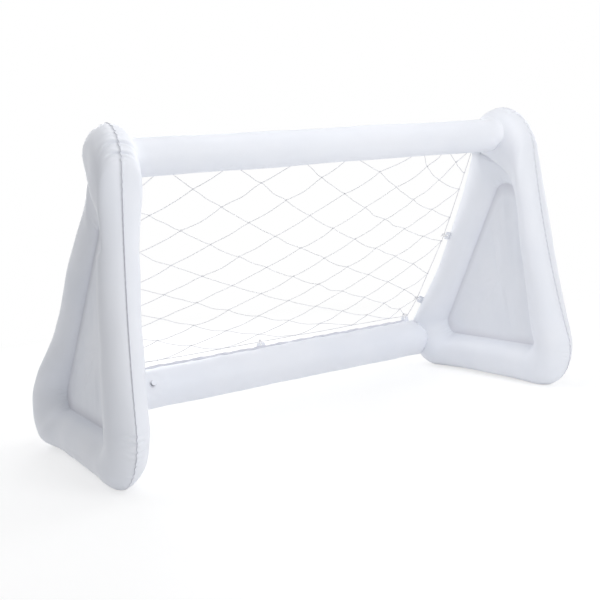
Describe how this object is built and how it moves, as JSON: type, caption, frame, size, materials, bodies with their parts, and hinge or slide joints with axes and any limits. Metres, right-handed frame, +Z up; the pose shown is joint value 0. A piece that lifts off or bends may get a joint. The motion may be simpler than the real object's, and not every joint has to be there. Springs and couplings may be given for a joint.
{
  "type": "inflatable soccer goal",
  "caption": "Inflatable vinyl soccer goal: two leaning triangular side frames joined by a crossbar and a rear floor bar, with a sloping diamond net.",
  "frame": {"origin": "on the floor below the middle of the goal's overall box", "axes": "+X along the goal's width to the right as seen from the mouth, the mouth faces -Y, +Z up"},
  "size_m": [1.0964, 0.5456, 0.6278],
  "materials": {
    "white_vinyl": "satin air-filled vinyl sheet",
    "clear_vinyl": "smooth milky moulded vinyl",
    "white_string": "matt twisted string"
  },
  "bodies": {
    "goal": {"left_frame_outer_sheet": "white_vinyl", "left_frame_inner_sheet": "white_vinyl", "right_frame_outer_sheet": "white_vinyl", "right_frame_inner_sheet": "white_vinyl", "crossbar_sleeve": "white_vinyl", "floor_bar_sleeve": "white_vinyl", "valve_base": "clear_vinyl", "crossbar_tab_left": "white_vinyl", "crossbar_tab_middle": "white_vinyl", "crossbar_tab_right": "white_vinyl", "floor_bar_tab_left": "white_vinyl", "floor_bar_tab_middle": "white_vinyl", "floor_bar_tab_right": "white_vinyl", "left_leg_tab_upper": "white_vinyl", "left_leg_tab_lower": "white_vinyl", "right_leg_tab_upper": "white_vinyl", "right_leg_tab_lower": "white_vinyl", "crossbar_loop_left": "white_string", "crossbar_loop_middle": "white_string", "crossbar_loop_right": "white_string", "floor_bar_loop_left": "white_string", "floor_bar_loop_middle": "white_string", "floor_bar_loop_right": "white_string", "left_leg_loop_upper": "white_string", "left_leg_loop_lower": "white_string", "right_leg_loop_upper": "white_string", "right_leg_loop_lower": "white_string", "net": "white_string"},
    "stem": {"valve_stem": "clear_vinyl"},
    "flap": {"valve_flap": "clear_vinyl"},
    "plug": {"valve_plug": "white_vinyl"}
  },
  "joints": [
    {"name": "stem_push_in", "type": "slide", "parent": "goal", "child": "stem", "axis": [0, 0.9063, -0.4226], "range_m": [0, 0.0072]},
    {"name": "plug_strap_bend", "type": "hinge", "parent": "stem", "child": "plug", "pos_m": [-0.289, 0.16283, 0.09896], "axis": [0, 0.4226, 0.9063], "range_deg": [0, 150]},
    {"name": "flap_bend", "type": "hinge", "parent": "stem", "child": "flap", "pos_m": [-0.3011, 0.18136, 0.09032], "axis": [0, 0.4226, 0.9063], "range_deg": [0, 50], "stiffness_Nm_per_rad": 0.0001}
  ]
}
